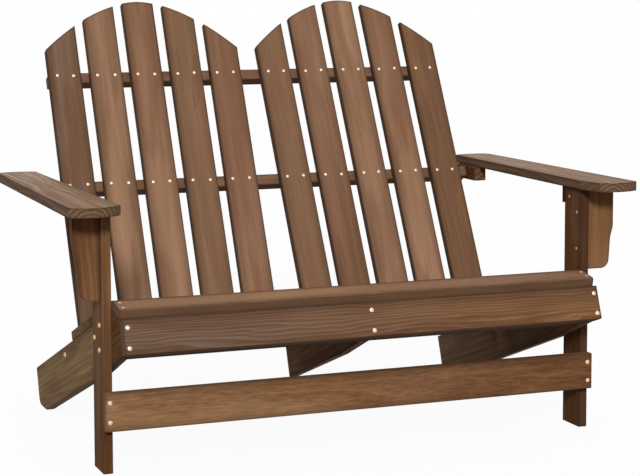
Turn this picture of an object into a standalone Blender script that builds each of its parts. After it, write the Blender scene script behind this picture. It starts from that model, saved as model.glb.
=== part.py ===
"""Two-seat slatted garden seat: sloping stringers, two fans of back slats and flat arms.

Metres, +Z up. The origin is on the ground under the middle of the whole seat, +X runs along the
seat and +Y points to the back. Left is -X and right is +X.
"""
from math import acos, cos, pi, radians, sin, sqrt, tan

import bmesh
import bpy
from mathutils import Matrix, Vector

# Boards and joints
BOARD = 0.020
CLEAR = 0.0003
EASE = 0.0015
EASE_STEPS = 2
OVERRUN = 0.005
ARC_STEPS = 6
WELD = 0.00001

# Legs and the stretcher across their front faces
LEG_HEIGHT = 0.5275
LEG_WIDTH = 0.072
STRETCHER_WIDTH = 0.078
STRETCHER_LIFT = 0.090

# Stringers, measured along and square to their lower edge from the legs' front faces
SEAT_HALF_WIDTH = 0.529
SEAT_SLOPE = radians(20.13)
STRINGER_RISE = 0.2159
STRINGER_DEPTH = 0.1075
STRINGER_NOSE = 0.085
STRINGER_TAIL = 0.689
HEEL_RADIUS = 0.022
NOSE_CUT_LENGTH = 0.160
NOSE_CUT_RISE = 0.010
CREST_SETBACK = 0.0425
FRONT_TILT = radians(11.0)

# Boards of the seat
SEAT_SLAT_COUNT = 4
SEAT_SLAT_WIDTH = 0.078
SEAT_SLAT_GAP = 0.0146
FRONT_SLAT_WIDTH = 0.052
FRONT_SLAT_NOSE = 0.004
APRON_WIDTH = 0.078
APRON_LIFT = 0.002
APRON_CLIP_LENGTH = 0.036
APRON_CLIP_RISE = 0.006

# Back slats, in two fans with arched tops
BACK_RAKE = radians(26.97)
BACK_GAP = 0.038
BACK_FOOT_LIFT = 0.077
BACK_SLAT_THICKNESS = 0.016
BACK_SLAT_LENGTH = 0.860
BACK_SLAT_GAP = 0.0201
FAN_SIDE_SLATS = 2
FAN_SIDE_INSET = 0.0307
FAN_MIDDLE_GAP = 0.0718
FAN_LEAN = radians(0.614)
FAN_SPLAY = radians(0.148)
ARCH_DROP = 0.122
ARCH_POWER = 1.8
ARCH_STEPS = 8

# Back rails
RAIL_HEIGHT = 0.026
RAIL_DEPTH = 0.034
LOWER_RAIL_LIFT = 0.003
UPPER_RAIL_LIFT = 0.6585
UPPER_RAIL_INSET = 0.004

# Arms
ARM_FRONT_OVERLAP = 0.007
ARM_REAR_INSET = 0.006
ARM_FRONT_WIDTH = 0.108
ARM_REAR_WIDTH = 0.088
ARM_NOSE_OUTER = 0.062
ARM_NOSE_INNER = 0.052
ARM_NOSE_BULGE = 0.021
ARM_TAIL = 0.039
ARM_TAIL_BULGE = 0.010
ARM_TAIL_RADIUS = 0.020
ARM_CUT_LENGTH = 0.044
ARM_CUT_DEPTH = 0.015

# Pieces under the arms
BRACKET_SETBACK = 0.008
BRACKET_LIFT = 0.0196
BRACKET_RADIUS = 0.020
BRACKET_TAPER = 0.004
BRACKET_WIDTHS = {"left": 0.056, "right": 0.065}
BRACKET_SCALLOPS = {"left": 0.013, "right": 0.007}
BRACKET_SHOULDER_SHARES = {"left": 0.225, "right": 0.451}
BRACKET_FALL_SHARES = {"left": 0.552, "right": 0.203}
CLEAT_LENGTH = 0.092
CLEAT_HEIGHT = 0.0415
BLOCK_WIDTH = 0.030
BLOCK_HEIGHT = 0.032
BLOCK_LENGTH = 0.053
BLOCK_TAIL_INSET = 0.012

# Bolts
BOLT_HEAD_RADIUS = 0.006
BOLT_HEAD_HEIGHT = 0.0035
BOLT_RADIUS = 0.003
BOLT_END = 0.002
BOLT_SIDES = 12
NUT_FLATS = 0.010
NUT_HEIGHT = 0.005
RAIL_BOLT_GRIP = 0.022
BOLT_SETBACK_SHARES = (0.23, 0.77, 0.25)
BOLT_LIFT_SHARES = (0.787, 0.638, 0.351)
DOME_SHARES = ((0.45, 1.0), (0.82, 0.72))

# Looks
BOLT_STEEL = (0.62, 0.60, 0.55)
WOODS = {
    "back_slat": (0.190, 0.090, 0.048),
    "seat_slat": (0.165, 0.085, 0.046),
    "rail": (0.130, 0.062, 0.036),
    "arm": (0.185, 0.115, 0.075),
    "leg": (0.120, 0.055, 0.032),
    "stringer": (0.125, 0.080, 0.043),
    "apron": (0.170, 0.090, 0.058),
    "stretcher": (0.160, 0.075, 0.042),
    "bracket": (0.180, 0.095, 0.052),
    "block": (0.110, 0.050, 0.028),
}

# Derived places, in the legs' frame: y is zero at the legs' front faces
leg_inner = SEAT_HALF_WIDTH + CLEAR
leg_outer = leg_inner + BOARD
stringer_inner = SEAT_HALF_WIDTH - BOARD
arm_under = LEG_HEIGHT + CLEAR
crest = -CREST_SETBACK
seat_end = crest + CLEAR + SEAT_SLAT_COUNT * SEAT_SLAT_WIDTH + (SEAT_SLAT_COUNT - 1) * SEAT_SLAT_GAP
foot_setback = seat_end + BACK_GAP
rail_front = BACK_SLAT_THICKNESS + CLEAR
rail_rear = rail_front + RAIL_DEPTH
back_lean = BACK_RAKE - SEAT_SLOPE
front_fall = SEAT_SLOPE + FRONT_TILT
bracket_height = LEG_HEIGHT - STRINGER_RISE - STRINGER_DEPTH / cos(SEAT_SLOPE) - BRACKET_LIFT
fan_slats = 2 * FAN_SIDE_SLATS + 1
fan_width = SEAT_HALF_WIDTH - FAN_SIDE_INSET - FAN_MIDDLE_GAP / 2
fan_offset = (FAN_MIDDLE_GAP + fan_width) / 2
slat_width = (fan_width - (fan_slats - 1) * BACK_SLAT_GAP) / fan_slats
slat_pitch = slat_width + BACK_SLAT_GAP


def on_seat(along, up):
    """Return the (y, z) of a point given along and square to the stringers' lower edge."""
    y = along * cos(SEAT_SLOPE) + up * sin(SEAT_SLOPE)
    z = STRINGER_RISE - along * sin(SEAT_SLOPE) + up * cos(SEAT_SLOPE)
    return y, z


foot_y, foot_z = on_seat(foot_setback, BACK_FOOT_LIFT)


def back_y(behind, z):
    """Return the y of a plane parallel to the back, behind the slats' front faces, at height z."""
    climb = (z - foot_z + behind * sin(BACK_RAKE)) / cos(BACK_RAKE)
    return foot_y + climb * sin(BACK_RAKE) + behind * cos(BACK_RAKE)


front_y, apron_z = on_seat(-STRINGER_NOSE - CLEAR - BOARD, APRON_LIFT)
rear_y = foot_y + BACK_SLAT_LENGTH * sin(BACK_RAKE) + BACK_SLAT_THICKNESS * cos(BACK_RAKE)
centre_y = (front_y + rear_y) / 2

# Start from an empty scene
for old in list(bpy.data.objects):
    bpy.data.objects.remove(old, do_unlink=True)

parts = bpy.data.collections.new("adirondack_loveseat")
bpy.context.scene.collection.children.link(parts)
cutters = bpy.data.collections.new("cutters")
bpy.context.scene.collection.children.link(cutters)


def surface(name, colour, roughness, metallic):
    """Make a plain Principled material."""
    material = bpy.data.materials.new(name)
    material.use_nodes = True
    shader = material.node_tree.nodes["Principled BSDF"]
    shader.inputs["Base Color"].default_value = (*colour, 1)
    shader.inputs["Roughness"].default_value = roughness
    shader.inputs["Metallic"].default_value = metallic
    return material


materials = {}
for wood, colour in WOODS.items():
    materials[wood] = surface(wood + "_wood", colour, 0.6, 0)
materials["bolt"] = surface("bolt_steel", BOLT_STEEL, 0.35, 1)


def place(thing, kind, parent, location=(0, 0, 0), rotation=(0, 0, 0)):
    """Link a part, give it its material and hang it on its parent."""
    parts.objects.link(thing)
    thing.parent = parent
    thing.location = location
    thing.rotation_euler = rotation
    if kind is not None:
        thing.data.materials.append(materials[kind])
    return thing


def ease_edges(thing):
    """Round a board's long and end edges a little."""
    bevel = thing.modifiers.new("eased edges", "BEVEL")
    bevel.width = EASE
    bevel.segments = EASE_STEPS
    bevel.limit_method = "ANGLE"
    bevel.angle_limit = radians(35)
    return thing


def board(name, kind, size, parent, location, rotation=(0, 0, 0)):
    """Make a straight board with eased edges."""
    mesh = bpy.data.meshes.new(name)
    shape = bmesh.new()
    bmesh.ops.create_cube(shape, size=1)
    bmesh.ops.scale(shape, vec=Vector(size), verts=shape.verts)
    shape.to_mesh(mesh)
    shape.free()
    thing = bpy.data.objects.new(name, mesh)
    return ease_edges(place(thing, kind, parent, location, rotation))


def outline(name, kind, points, thickness, parent, location, rotation):
    """Make a board from a flat outline, with eased edges."""
    curve = bpy.data.curves.new(name, "CURVE")
    curve.dimensions = "2D"
    curve.fill_mode = "BOTH"
    curve.extrude = thickness / 2
    spline = curve.splines.new("POLY")
    spline.points.add(len(points) - 1)
    for point, (x, y) in zip(spline.points, points):
        point.co = (x, y, 0, 1)
    spline.use_cyclic_u = True
    thing = bpy.data.objects.new(name, curve)
    place(thing, kind, parent, location, rotation)
    weld = thing.modifiers.new("joined caps", "WELD")
    weld.merge_threshold = WELD
    return ease_edges(thing)


def as_mesh(thing):
    """Turn an outlined board into a mesh, so that it can be cut."""
    name = thing.name
    bevel = thing.modifiers["eased edges"]
    thing.modifiers.remove(bevel)
    bpy.context.view_layer.update()
    graph = bpy.context.evaluated_depsgraph_get()
    mesh = bpy.data.meshes.new_from_object(thing.evaluated_get(graph))
    welded = bmesh.new()
    welded.from_mesh(mesh)
    bmesh.ops.remove_doubles(welded, verts=welded.verts, dist=WELD)
    welded.to_mesh(mesh)
    welded.free()
    mesh.name = name
    solid = bpy.data.objects.new(name, mesh)
    parts.objects.link(solid)
    matrix = thing.matrix_world.copy()
    bpy.data.objects.remove(thing, do_unlink=True)
    solid.name = name
    solid.matrix_world = matrix
    return ease_edges(solid)


def cut(thing, tool):
    """Cut a tool's shape out of a part."""
    boolean = thing.modifiers.new("cut " + tool.name, "BOOLEAN")
    boolean.operation = "DIFFERENCE"
    boolean.solver = "EXACT"
    boolean.object = tool


def hide_tool(tool, parent, location, rotation):
    """Keep a cutter out of the model."""
    cutters.objects.link(tool)
    tool.parent = parent
    tool.location = location
    tool.rotation_euler = rotation
    tool.hide_render = True
    tool.display_type = "WIRE"
    return tool


def drill(name, length, parent, location):
    """Make a bolt hole's cutter, running along X."""
    mesh = bpy.data.meshes.new(name)
    shape = bmesh.new()
    radius = BOLT_RADIUS + CLEAR
    bmesh.ops.create_cone(shape, cap_ends=True, segments=BOLT_SIDES, radius1=radius, radius2=radius,
                          depth=length)
    shape.to_mesh(mesh)
    shape.free()
    return hide_tool(bpy.data.objects.new(name, mesh), parent, location, (0, pi / 2, 0))


def fillet(before, corner, after, radius):
    """Return the points that round one corner of an outline."""
    corner = Vector(corner)
    start = (Vector(before) - corner).normalized()
    end = (Vector(after) - corner).normalized()
    half = acos(start.dot(end)) / 2
    centre = corner + (start + end).normalized() * radius / sin(half)
    first = corner + start * radius / tan(half) - centre
    last = corner + end * radius / tan(half) - centre
    turn = first.angle_signed(last)
    points = []
    for step in range(ARC_STEPS + 1):
        arm = Matrix.Rotation(-turn * step / ARC_STEPS, 2) @ first
        points.append(tuple(centre + arm))
    return points


def bow(start, end, bulge):
    """Return the points of a shallow arc, bulge deep, to the right of the way from start to end."""
    start = Vector(start)
    end = Vector(end)
    way = end - start
    side = Vector((way.y, -way.x)).normalized()
    radius = (way.length ** 2 / 4 + bulge ** 2) / (2 * bulge)
    centre = (start + end) / 2 + side * (bulge - radius)
    points = []
    for step in range(ARC_STEPS + 1):
        along = way * (step / ARC_STEPS - 0.5)
        lift = sqrt(radius ** 2 - along.length ** 2)
        points.append(tuple(centre + along + side * lift))
    return points


# Frames: the whole seat, the sloping seat and the raked back
base = bpy.data.objects.new("seat_origin", None)
place(base, None, None, (0, -centre_y, 0))
seat = bpy.data.objects.new("seat_slope", None)
place(seat, None, base, (0, 0, STRINGER_RISE), (-SEAT_SLOPE, 0, 0))
back = bpy.data.objects.new("back_rake", None)
place(back, None, seat, (0, foot_setback, BACK_FOOT_LIFT), (-back_lean, 0, 0))

ALONG_X = (pi / 2, 0, pi / 2)
ALONG_Y = (pi / 2, 0, 0)
SIDES = {"left": -1, "right": 1}

# Bolt places on the legs: each hole goes on into the stringer behind
bolt_places = []
for setback_share, lift_share in zip(BOLT_SETBACK_SHARES, BOLT_LIFT_SHARES):
    bolt_y = LEG_WIDTH * setback_share
    bolt_z = STRINGER_RISE - bolt_y * tan(SEAT_SLOPE) + STRINGER_DEPTH / cos(SEAT_SLOPE) * lift_share
    bolt_places.append((bolt_y, bolt_z))
rail_bolt_y = (rail_front + rail_rear) / 2
rail_bolt_z = LOWER_RAIL_LIFT + RAIL_HEIGHT / 2

# Stringers
bpy.context.view_layer.update()
crest_fall = (STRINGER_NOSE - CREST_SETBACK) * tan(front_fall)
sole_start = STRINGER_RISE / sin(SEAT_SLOPE)
sole_end = (STRINGER_TAIL - sole_start) * tan(SEAT_SLOPE)
nose = [
    (crest, STRINGER_DEPTH),
    (-STRINGER_NOSE, STRINGER_DEPTH - crest_fall),
    (-STRINGER_NOSE, NOSE_CUT_RISE),
    (NOSE_CUT_LENGTH - STRINGER_NOSE, 0),
]
heel = fillet((sole_start, 0), (STRINGER_TAIL, sole_end), (STRINGER_TAIL, STRINGER_DEPTH), HEEL_RADIUS)
long_outline = nose + [(sole_start, 0)] + heel + [(STRINGER_TAIL, STRINGER_DEPTH)]
stringers = {}
for side, sign in SIDES.items():
    spot = (sign * (SEAT_HALF_WIDTH - BOARD / 2), 0, 0)
    stringers[side] = as_mesh(
        outline("stringer_" + side, "stringer", long_outline, BOARD, seat, spot, ALONG_X))

centre_tail = foot_setback + rail_rear * cos(back_lean) + LOWER_RAIL_LIFT * sin(back_lean)
short_outline = nose + [(centre_tail, 0), (centre_tail, STRINGER_DEPTH)]
stringers["centre"] = as_mesh(
    outline("stringer_centre", "stringer", short_outline, BOARD, seat, (0, 0, 0), ALONG_X))

notch = bpy.data.meshes.new("rail_notch")
notch_shape = bmesh.new()
bmesh.ops.create_cube(notch_shape, size=1)
notch_depth = RAIL_DEPTH + CLEAR + OVERRUN
notch_height = STRINGER_DEPTH + CLEAR
bmesh.ops.scale(notch_shape, vec=Vector((BOARD + OVERRUN, notch_depth, notch_height)),
                verts=notch_shape.verts)
notch_shape.to_mesh(notch)
notch_shape.free()
notch_spot = (0, rail_front - CLEAR + notch_depth / 2, LOWER_RAIL_LIFT - CLEAR + notch_height / 2)
cut(stringers["centre"], hide_tool(bpy.data.objects.new("rail_notch", notch), back, notch_spot, (0, 0, 0)))

# Legs
legs = {}
for side, sign in SIDES.items():
    spot = (sign * (leg_inner + BOARD / 2), LEG_WIDTH / 2, LEG_HEIGHT / 2)
    legs[side] = board("leg_" + side, "leg", (BOARD, LEG_WIDTH, LEG_HEIGHT), base, spot)

# Bolt holes through each leg and its stringer
for side, sign in SIDES.items():
    for number, (bolt_y, bolt_z) in enumerate(bolt_places, 1):
        hole_length = leg_outer - stringer_inner + OVERRUN
        hole_spot = (sign * (leg_outer + stringer_inner) / 2, bolt_y, bolt_z)
        hole = drill("leg_hole_%s_%d" % (side, number), hole_length, base, hole_spot)
        cut(legs[side], hole)
        cut(stringers[side], hole)

# Apron on the stringers' front ends, its lower right corner clipped
apron_outline = [
    (-SEAT_HALF_WIDTH, 0),
    (SEAT_HALF_WIDTH - APRON_CLIP_LENGTH, 0),
    (SEAT_HALF_WIDTH, APRON_CLIP_RISE),
    (SEAT_HALF_WIDTH, APRON_WIDTH),
    (-SEAT_HALF_WIDTH, APRON_WIDTH),
]
apron_spot = (0, -STRINGER_NOSE - CLEAR - BOARD / 2, APRON_LIFT)
outline("apron", "apron", apron_outline, BOARD, seat, apron_spot, ALONG_Y)

# Stretcher across the legs' front faces
stretcher_spot = (0, -CLEAR - BOARD / 2, STRETCHER_LIFT + STRETCHER_WIDTH / 2)
board("stretcher", "stretcher", (leg_outer * 2, BOARD, STRETCHER_WIDTH), base, stretcher_spot)

# Front seat slat, tipped forward on the stringers' flats, its upper front edge rounded
nose_corner = fillet((0, BOARD), (-FRONT_SLAT_WIDTH, BOARD), (-FRONT_SLAT_WIDTH, 0), FRONT_SLAT_NOSE)
front_outline = [(-FRONT_SLAT_WIDTH, 0), (0, 0), (0, BOARD)] + nose_corner
front_spot = (0, crest - CLEAR * sin(front_fall), STRINGER_DEPTH + CLEAR * cos(front_fall))
tip = Matrix.Rotation(front_fall, 3, "X") @ Matrix.Rotation(pi / 2, 3, "Z") @ Matrix.Rotation(pi / 2, 3, "X")
outline("front_seat_slat", "seat_slat", front_outline, SEAT_HALF_WIDTH * 2, seat, front_spot,
        tip.to_euler())

# Seat slats
for number in range(SEAT_SLAT_COUNT):
    start = crest + CLEAR + number * (SEAT_SLAT_WIDTH + SEAT_SLAT_GAP)
    spot = (0, start + SEAT_SLAT_WIDTH / 2, STRINGER_DEPTH + CLEAR + BOARD / 2)
    board("seat_slat_%d" % (number + 1), "seat_slat", (SEAT_HALF_WIDTH * 2, SEAT_SLAT_WIDTH, BOARD),
          seat, spot)


def top_middle(place_in_fan):
    """Return how far a slat's top stands from the middle of its fan's top."""
    spread = sin(FAN_LEAN + place_in_fan * FAN_SPLAY) - sin(FAN_LEAN)
    return place_in_fan * slat_pitch + BACK_SLAT_LENGTH * spread


half_slat = slat_width / 2
arch_reach = top_middle(FAN_SIDE_SLATS) + half_slat


def arch(across):
    """Return a fan's height at a distance from its middle."""
    return BACK_SLAT_LENGTH - ARCH_DROP * (abs(across) / arch_reach) ** ARCH_POWER


# Back slats, counted from the outer slat of each fan to the inner one
for side, sign in SIDES.items():
    for place_in_fan in range(-FAN_SIDE_SLATS, FAN_SIDE_SLATS + 1):
        slat_lean = FAN_LEAN + place_in_fan * FAN_SPLAY
        slat_outline = [(-half_slat, 0), (half_slat, 0)]
        for step in range(ARCH_STEPS + 1):
            across = half_slat - slat_width * step / ARCH_STEPS
            slat_outline.append((across, arch(top_middle(place_in_fan) - sign * across)))
        spot = (-sign * (place_in_fan * slat_pitch - fan_offset), BACK_SLAT_THICKNESS / 2, 0)
        turn = Matrix.Rotation(-sign * slat_lean, 3, "Y") @ Matrix.Rotation(pi / 2, 3, "X")
        outline("back_slat_%s_%d" % (side, place_in_fan + FAN_SIDE_SLATS + 1), "back_slat", slat_outline,
                BACK_SLAT_THICKNESS, back, spot, turn.to_euler())

# Back rails
lower_size = ((stringer_inner - CLEAR) * 2, RAIL_DEPTH, RAIL_HEIGHT)
lower_spot = (0, (rail_front + rail_rear) / 2, LOWER_RAIL_LIFT + RAIL_HEIGHT / 2)
lower_rail = board("lower_back_rail", "rail", lower_size, back, lower_spot)

block_inner = leg_inner - ARM_FRONT_OVERLAP
block_outer = block_inner + BLOCK_WIDTH
arm_rail_top = (LEG_HEIGHT - foot_z + rail_front * sin(BACK_RAKE)) / cos(BACK_RAKE)
board("arm_back_rail", "rail", ((block_inner - CLEAR) * 2, RAIL_DEPTH, RAIL_HEIGHT), back,
      (0, (rail_front + rail_rear) / 2, arm_rail_top - RAIL_HEIGHT / 2))

outer_lean = FAN_LEAN - FAN_SIDE_SLATS * FAN_SPLAY
outer_edge = SEAT_HALF_WIDTH - FAN_SIDE_INSET - UPPER_RAIL_LIFT * tan(outer_lean)
board("upper_back_rail", "rail", ((outer_edge - UPPER_RAIL_INSET) * 2, RAIL_DEPTH, RAIL_HEIGHT), back,
      (0, (rail_front + rail_rear) / 2, UPPER_RAIL_LIFT + RAIL_HEIGHT / 2))

# Holes for the bolts that hold the lower rail between the outer stringers
for side, sign in SIDES.items():
    hole_end = stringer_inner - RAIL_BOLT_GRIP - CLEAR
    hole_length = SEAT_HALF_WIDTH + OVERRUN - hole_end
    hole_spot = (sign * (hole_end + hole_length / 2), rail_bolt_y, rail_bolt_z)
    hole = drill("rail_hole_" + side, hole_length, back, hole_spot)
    cut(stringers[side], hole)
    cut(lower_rail, hole)

# Arms, with a bowed front end and a rounded rear end
arm_rear_y = back_y(rail_rear, LEG_HEIGHT) + ARM_TAIL
inner_front = leg_inner - ARM_FRONT_OVERLAP
inner_rear = leg_inner + ARM_REAR_INSET
outer_front = inner_front + ARM_FRONT_WIDTH
outer_rear = inner_rear + ARM_REAR_WIDTH
for side, sign in SIDES.items():
    front_end = bow((inner_front, -ARM_NOSE_INNER), (outer_front, -ARM_NOSE_OUTER), ARM_NOSE_BULGE)
    if sign > 0:
        front_end = front_end[1:]
        front_end.insert(0, (inner_front, -ARM_NOSE_INNER + ARM_CUT_LENGTH))
        front_end.insert(1, (inner_front + ARM_CUT_DEPTH, -ARM_NOSE_INNER - ARM_NOSE_BULGE / 2))
    rear_end = bow((outer_rear, arm_rear_y), (inner_rear, arm_rear_y), ARM_TAIL_BULGE)
    rear_corner = fillet((outer_front, -ARM_NOSE_OUTER), rear_end[0], rear_end[1], ARM_TAIL_RADIUS)
    arm_outline = front_end + rear_corner + rear_end[2:]
    if sign < 0:
        arm_outline = [(-x, y) for x, y in reversed(arm_outline)]
    outline("arm_" + side, "arm", arm_outline, BOARD, base, (0, 0, arm_under + BOARD / 2), (0, 0, 0))

# Scalloped brackets between the arms and the legs' outer faces
for side, sign in SIDES.items():
    bracket_outline = [(0, 0), (0, -bracket_height)]
    bracket_width = BRACKET_WIDTHS[side]
    scallop = BRACKET_SCALLOPS[side]
    shoulder = bracket_height * BRACKET_SHOULDER_SHARES[side]
    scallop_fall = bracket_height * BRACKET_FALL_SHARES[side]
    foot_edge = bracket_width - scallop - BRACKET_TAPER
    waist = (bracket_width - scallop, -shoulder - scallop_fall)
    bracket_outline += fillet((0, -bracket_height), (foot_edge, -bracket_height), waist, BRACKET_RADIUS)
    for step in range(ARC_STEPS + 1):
        share = step / ARC_STEPS
        inset = scallop * (1 + cos(pi * share)) / 2
        fall = shoulder + scallop_fall * (1 - share)
        bracket_outline.append((bracket_width - inset, -fall))
    bracket_outline.append((bracket_width, 0))
    if sign < 0:
        bracket_outline = [(-x, y) for x, y in reversed(bracket_outline)]
    spot = (sign * (leg_outer + CLEAR), BRACKET_SETBACK + BOARD / 2, LEG_HEIGHT)
    outline("arm_bracket_" + side, "bracket", bracket_outline, BOARD, base, spot, ALONG_Y)

# Cleats behind the brackets, under the arms
for side, sign in SIDES.items():
    cleat_start = BRACKET_SETBACK + BOARD + CLEAR
    spot = (sign * (leg_outer + CLEAR + BOARD / 2), cleat_start + CLEAT_LENGTH / 2,
            LEG_HEIGHT - CLEAT_HEIGHT / 2)
    board("arm_cleat_" + side, "block", (BOARD, CLEAT_LENGTH, CLEAT_HEIGHT), base, spot)

# Blocks under the arms' rear ends, with the arm rail between them, cut to the back's rake behind
block_under = LEG_HEIGHT - BLOCK_HEIGHT
block_front = back_y(BACK_SLAT_THICKNESS, LEG_HEIGHT) - BLOCK_LENGTH
block_rear = arm_rear_y - BLOCK_TAIL_INSET
block_outline = [
    (block_front, block_under),
    (block_rear - BLOCK_HEIGHT * tan(BACK_RAKE), block_under),
    (block_rear, LEG_HEIGHT),
    (block_front, LEG_HEIGHT),
]
for side, sign in SIDES.items():
    spot = (sign * (block_inner + block_outer) / 2, 0, 0)
    outline("arm_block_" + side, "block", block_outline, BLOCK_WIDTH, base, spot, ALONG_X)


def turned_bolt(name, grip):
    """Make one domed bolt along Z, its head's seat at zero and its shank below."""
    profile = [(0, BOLT_HEAD_HEIGHT)]
    for radius_share, height_share in DOME_SHARES:
        profile.append((BOLT_HEAD_RADIUS * radius_share, BOLT_HEAD_HEIGHT * height_share))
    profile += [(BOLT_HEAD_RADIUS, 0), (BOLT_RADIUS, 0), (BOLT_RADIUS, -grip), (0, -grip)]
    mesh = bpy.data.meshes.new(name)
    shape = bmesh.new()
    corners = [shape.verts.new((radius, 0, height)) for radius, height in profile]
    for first, second in zip(corners, corners[1:]):
        shape.edges.new((first, second))
    shape.to_mesh(mesh)
    shape.free()
    thing = bpy.data.objects.new(name, mesh)
    cutters.objects.link(thing)
    screw = thing.modifiers.new("turned", "SCREW")
    screw.axis = "Z"
    screw.steps = BOLT_SIDES
    screw.render_steps = BOLT_SIDES
    screw.use_merge_vertices = True
    screw.merge_threshold = WELD
    bpy.context.view_layer.update()
    graph = bpy.context.evaluated_depsgraph_get()
    solid = bpy.data.meshes.new_from_object(thing.evaluated_get(graph))
    bpy.data.objects.remove(thing, do_unlink=True)
    return solid


def hex_nut(name):
    """Make one hexagon nut along Z, from zero down."""
    curve = bpy.data.curves.new(name, "CURVE")
    curve.dimensions = "2D"
    curve.fill_mode = "BOTH"
    curve.extrude = NUT_HEIGHT / 2
    for sides, radius in ((6, NUT_FLATS / 2 / cos(pi / 6)), (BOLT_SIDES, BOLT_RADIUS + CLEAR)):
        spline = curve.splines.new("POLY")
        spline.points.add(sides - 1)
        for number, point in enumerate(spline.points):
            angle = 2 * pi * number / sides
            point.co = (radius * cos(angle), radius * sin(angle), 0, 1)
        spline.use_cyclic_u = True
    thing = bpy.data.objects.new(name, curve)
    cutters.objects.link(thing)
    bpy.context.view_layer.update()
    graph = bpy.context.evaluated_depsgraph_get()
    solid = bpy.data.meshes.new_from_object(thing.evaluated_get(graph))
    bpy.data.objects.remove(thing, do_unlink=True)
    welded = bmesh.new()
    welded.from_mesh(solid)
    bmesh.ops.remove_doubles(welded, verts=welded.verts, dist=WELD)
    bmesh.ops.translate(welded, vec=Vector((0, 0, -NUT_HEIGHT / 2)), verts=welded.verts)
    welded.to_mesh(solid)
    welded.free()
    return solid


def fasten(name, solid, sign, x, y, z, parent):
    """Seat a fastener on a side face, its head outward along X."""
    thing = bpy.data.objects.new(name, solid)
    parts.objects.link(thing)
    thing.parent = parent
    thing.location = (sign * x, y, z)
    thing.rotation_euler = (0, sign * pi / 2, 0)
    return thing


def finish(solid):
    """Shade a fastener smooth and give it its steel."""
    solid.shade_smooth()
    solid.set_sharp_from_angle(angle=radians(35))
    solid.materials.append(materials["bolt"])
    return solid


leg_grip = leg_outer + CLEAR - stringer_inner + CLEAR + NUT_HEIGHT + BOLT_END
leg_bolt = finish(turned_bolt("leg_bolt", leg_grip))
leg_nut = finish(hex_nut("leg_nut"))
rail_bolt = finish(turned_bolt("rail_bolt", BOARD + CLEAR + RAIL_BOLT_GRIP))
for side, sign in SIDES.items():
    for number, (bolt_y, bolt_z) in enumerate(bolt_places, 1):
        ends = "%s_%d" % (side, number)
        fasten("leg_bolt_" + ends, leg_bolt, sign, leg_outer + CLEAR, bolt_y, bolt_z, base)
        fasten("leg_nut_" + ends, leg_nut, sign, stringer_inner - CLEAR, bolt_y, bolt_z, base)
    fasten("rail_bolt_" + side, rail_bolt, sign, SEAT_HALF_WIDTH + CLEAR, rail_bolt_y, rail_bolt_z, back)
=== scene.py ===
# %% [markdown]
# # A two-seat garden seat in stained fir
#
# The seat is made of straight boards, screwed and bolted together: sloping stringers that are
# also the rear feet, upright front legs, two fans of back slats and two flat arms. The boards
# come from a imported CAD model, where each one is a solid of its own. This lesson gives them
# their wood, drives the small screws that the CAD model leaves out, and sets up the camera and
# the light. All sizes are in metres. +X runs along the seat, +Y points to its back and +Z up.

# %% Load the boards
from math import cos, pi, radians, sin
from random import Random

import bmesh
import bpy
import numpy as np
from mathutils import Matrix, Vector


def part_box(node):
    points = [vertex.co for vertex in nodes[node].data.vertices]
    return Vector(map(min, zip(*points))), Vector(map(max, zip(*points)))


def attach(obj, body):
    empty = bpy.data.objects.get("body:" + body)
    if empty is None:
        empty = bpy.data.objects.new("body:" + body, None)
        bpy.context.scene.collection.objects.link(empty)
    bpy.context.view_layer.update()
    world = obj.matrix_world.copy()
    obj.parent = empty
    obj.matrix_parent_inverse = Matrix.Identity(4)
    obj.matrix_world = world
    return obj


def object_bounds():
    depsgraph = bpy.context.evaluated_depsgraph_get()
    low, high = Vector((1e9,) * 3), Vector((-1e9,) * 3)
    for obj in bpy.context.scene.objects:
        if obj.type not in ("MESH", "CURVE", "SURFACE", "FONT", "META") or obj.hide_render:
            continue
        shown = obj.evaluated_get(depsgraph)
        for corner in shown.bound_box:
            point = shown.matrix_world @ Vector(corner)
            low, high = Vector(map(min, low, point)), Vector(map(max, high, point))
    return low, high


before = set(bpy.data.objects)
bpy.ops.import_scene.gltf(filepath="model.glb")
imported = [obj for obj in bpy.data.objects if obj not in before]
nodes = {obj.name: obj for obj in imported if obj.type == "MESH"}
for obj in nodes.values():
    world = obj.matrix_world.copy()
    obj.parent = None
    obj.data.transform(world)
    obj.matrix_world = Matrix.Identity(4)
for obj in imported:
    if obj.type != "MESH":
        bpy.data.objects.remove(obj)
cad_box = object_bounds()
print("boards and bolts:", len(nodes))
print("CAD box:", [round(value, 4) for corner in cad_box for value in corner])

# %% [markdown]
# ## The camera
#
# The seat is seen from its left front, from a little above the top of its back. A long lens from
# about four metres away keeps its sides nearly parallel, as in a shop's picture. The camera could
# be aimed with a constraint, but three turns are enough and say plainly how it stands: up to
# the horizon, down by the pitch, and round by the heading. A small shift moves the frame down
# without tilting the camera further, so that the legs stay upright in the picture.

# %% Set up the camera
CAMERA_PLACE = (-1.4632, -3.8139, 0.9838)
CAMERA_HEADING = radians(20.602)
CAMERA_PITCH = radians(5.055)
CAMERA_ROLL = radians(-0.170)
CAMERA_LENS = 102.8
CAMERA_SHIFT = (0.0504, -0.15)

camera = bpy.data.objects.new("camera", bpy.data.cameras.new("camera"))
bpy.context.scene.collection.objects.link(camera)
bpy.context.scene.camera = camera
camera.data.lens = CAMERA_LENS
camera.data.shift_x, camera.data.shift_y = CAMERA_SHIFT
camera.matrix_world = (
    Matrix.Translation(CAMERA_PLACE)
    @ Matrix.Rotation(-CAMERA_HEADING, 4, "Z")
    @ Matrix.Rotation(pi / 2 - CAMERA_PITCH, 4, "X")
    @ Matrix.Rotation(CAMERA_ROLL, 4, "Z")
)
seat_middle = (cad_box[0] + cad_box[1]) / 2
print("camera to seat: %.2f m" % (camera.location - seat_middle).length)

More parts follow.
